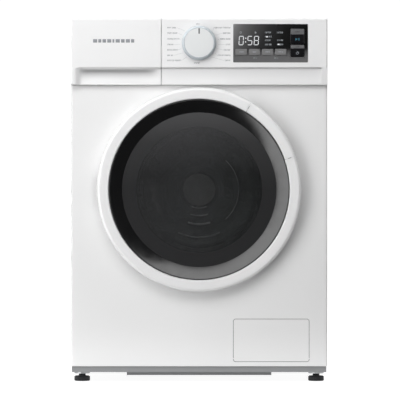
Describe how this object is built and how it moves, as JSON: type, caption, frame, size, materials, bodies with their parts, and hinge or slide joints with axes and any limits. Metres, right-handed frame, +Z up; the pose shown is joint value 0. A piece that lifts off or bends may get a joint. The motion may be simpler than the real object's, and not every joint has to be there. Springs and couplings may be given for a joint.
{
  "type": "front load washing machine",
  "caption": "Free-standing front loader: steel cabinet, sprung tub with belt-driven drum, round glazed door with pull handle, detergent drawer, programme knob, keys, filter flap and screw feet.",
  "frame": {"origin": "on the floor, under the middle of the machine's bounding box", "axes": "+Z up, -Y out of the front with the door, +X to the right as seen from the front"},
  "size_m": [0.595, 0.584, 0.845],
  "materials": {
    "cabinet_paint": "smooth white powder coat",
    "rear_sheet": "galvanised sheet",
    "zinc_steel": "zinc plated",
    "worktop": "chipboard faced with white laminate",
    "fascia_white": "satin white",
    "door_white": "glossy white",
    "display_black": "glossy black",
    "trim_black": "glossy black",
    "smoked_glass": "dark tinted",
    "bowl_glass": "clear pressed glass",
    "liner_grey": "moulded",
    "tray_grey": "moulded",
    "base_grey": "moulded",
    "pump_dark": "moulded",
    "valve_white": "moulded",
    "tub_plastic": "filled polypropylene",
    "concrete": "cast concrete",
    "seal_rubber": "soft grey",
    "black_rubber": "matt black",
    "foot_black": "matt black",
    "motor_paint": "dark grey",
    "rotor_steel": "bare steel",
    "drum_steel": "stainless",
    "cast_aluminium": "as cast",
    "lifter_plastic": "moulded",
    "key_grey": "satin"
  },
  "bodies": {
    "cabinet": {"cabinet_shell": "cabinet_paint", "rear_panel": "rear_sheet", "front_panel": "cabinet_paint", "top_plate": "worktop", "control_panel": "fascia_white", "display_window": "display_black", "dispenser_housing": "tray_grey", "base_tray": "base_grey", "drain_pump": "pump_dark", "door_lock": "pump_dark", "hinge_bracket": "zinc_steel", "inlet_valve": "valve_white", "main_board": "pump_dark", "cross_braces": "zinc_steel", "damper_cylinders": "motor_paint", "transit_caps": "base_grey", "panel_screws": "zinc_steel", "drain_outlet": "base_grey", "mains_gland": "pump_dark", "lock_nuts": "zinc_steel"},
    "tub": {"tub_front": "tub_plastic", "tub_rear": "tub_plastic", "top_counterweight": "concrete", "front_counterweight": "concrete", "door_seal": "seal_rubber", "motor_housing": "motor_paint", "drum_bearings": "rotor_steel", "heater": "rotor_steel", "drive_belt": "black_rubber", "damper_rods": "rotor_steel", "sump_hose": "black_rubber", "suspension_springs": "rotor_steel"},
    "drum": {"drum_shell": "drum_steel", "drum_lifters": "lifter_plastic", "drum_spider": "cast_aluminium", "drum_pulley": "cast_aluminium"},
    "rotor": {"motor_rotor": "rotor_steel"},
    "door": {"door_ring": "door_white", "door_trim": "trim_black", "door_window": "smoked_glass", "door_bowl": "bowl_glass", "door_liner": "liner_grey", "hinge_arm": "zinc_steel"},
    "handle": {"door_handle": "door_white"},
    "hook": {"latch_hook": "zinc_steel"},
    "drawer": {"drawer_front": "fascia_white", "drawer_tray": "tray_grey"},
    "knob": {"programme_knob": "fascia_white"},
    "flap": {"service_flap": "fascia_white"},
    "filter": {"filter_cap": "base_grey"},
    "option_key_1": {"option_key_1": "key_grey"},
    "option_key_2": {"option_key_2": "key_grey"},
    "option_key_3": {"option_key_3": "key_grey"},
    "option_key_4": {"option_key_4": "key_grey"},
    "start_key": {"start_key": "key_grey"},
    "power_key": {"power_key": "key_grey"},
    "foot_front_left": {"foot_front_left": "foot_black"},
    "foot_front_right": {"foot_front_right": "foot_black"},
    "foot_rear_left": {"foot_rear_left": "foot_black"},
    "foot_rear_right": {"foot_rear_right": "foot_black"}
  },
  "joints": [
    {"name": "door_hinge", "type": "hinge", "parent": "cabinet", "child": "door", "pos_m": [-0.222, -0.275, 0.446], "axis": [0, 0, -1], "range_deg": [0, 120]},
    {"name": "handle_pull", "type": "hinge", "parent": "door", "child": "handle", "pos_m": [0.15776, -0.28, 0.57375], "axis": [0.6293, 0, -0.7771], "range_deg": [0, 10], "stiffness_Nm_per_rad": 0.6, "springref_deg": -6.88},
    {"name": "hook_turn", "type": "hinge", "parent": "door", "child": "hook", "pos_m": [0.1461, -0.256, 0.56431], "axis": [0.6293, 0, -0.7771], "range_deg": [0, 15.5]},
    {"name": "drawer_slide", "type": "slide", "parent": "cabinet", "child": "drawer", "axis": [0, -1, 0], "range_m": [0, 0.19]},
    {"name": "knob_turn", "type": "hinge", "parent": "cabinet", "child": "knob", "pos_m": [0, -0.278, 0.7855], "axis": [0, -1, 0], "continuous": true},
    {"name": "flap_hinge", "type": "hinge", "parent": "cabinet", "child": "flap", "pos_m": [0.1675, -0.2551, 0.054], "axis": [1, 0, 0], "range_deg": [0, 90]},
    {"name": "filter_turn", "type": "hinge", "parent": "cabinet", "child": "filter", "pos_m": [0.185, -0.238, 0.094], "axis": [0, -1, 0], "range_deg": [0, 360]},
    {"name": "option_key_1_press", "type": "slide", "parent": "cabinet", "child": "option_key_1", "axis": [0, 1, 0], "range_m": [0, 0.001], "stiffness_N_per_m": 1500, "springref_m": -0.0006},
    {"name": "option_key_2_press", "type": "slide", "parent": "cabinet", "child": "option_key_2", "axis": [0, 1, 0], "range_m": [0, 0.001], "stiffness_N_per_m": 1500, "springref_m": -0.0006},
    {"name": "option_key_3_press", "type": "slide", "parent": "cabinet", "child": "option_key_3", "axis": [0, 1, 0], "range_m": [0, 0.001], "stiffness_N_per_m": 1500, "springref_m": -0.0006},
    {"name": "option_key_4_press", "type": "slide", "parent": "cabinet", "child": "option_key_4", "axis": [0, 1, 0], "range_m": [0, 0.001], "stiffness_N_per_m": 1500, "springref_m": -0.0006},
    {"name": "start_key_press", "type": "slide", "parent": "cabinet", "child": "start_key", "axis": [0, 1, 0], "range_m": [0, 0.001], "stiffness_N_per_m": 1500, "springref_m": -0.0006},
    {"name": "power_key_press", "type": "slide", "parent": "cabinet", "child": "power_key", "axis": [0, 1, 0], "range_m": [0, 0.001], "stiffness_N_per_m": 1500, "springref_m": -0.0006},
    {"name": "tub_bounce", "type": "slide", "parent": "cabinet", "child": "tub", "axis": [0, 0, 1], "range_m": [-0.012, 0.012], "stiffness_N_per_m": 9000, "springref_m": 0.04803, "deforming": ["door_seal", "sump_hose", "suspension_springs"]},
    {"name": "drum_spin", "type": "hinge", "parent": "tub", "child": "drum", "pos_m": [0, 0.042, 0.446], "axis": [0, -1, 0], "continuous": true},
    {"name": "rotor_spin", "type": "hinge", "parent": "tub", "child": "rotor", "pos_m": [-0.11028, 0.152, 0.13285], "axis": [0, -1, 0], "continuous": true},
    {"name": "foot_front_left_screw", "type": "slide", "parent": "cabinet", "child": "foot_front_left", "axis": [0, 0, -1], "range_m": [0, 0.012]},
    {"name": "foot_front_right_screw", "type": "slide", "parent": "cabinet", "child": "foot_front_right", "axis": [0, 0, -1], "range_m": [0, 0.012]},
    {"name": "foot_rear_left_screw", "type": "slide", "parent": "cabinet", "child": "foot_rear_left", "axis": [0, 0, -1], "range_m": [0, 0.012]},
    {"name": "foot_rear_right_screw", "type": "slide", "parent": "cabinet", "child": "foot_rear_right", "axis": [0, 0, -1], "range_m": [0, 0.012]}
  ],
  "couplings": [
    {"joint": "hook_turn", "follows": "handle_pull", "ratio": 1.5},
    {"joint": "rotor_spin", "follows": "drum_spin", "ratio": 12.345}
  ]
}
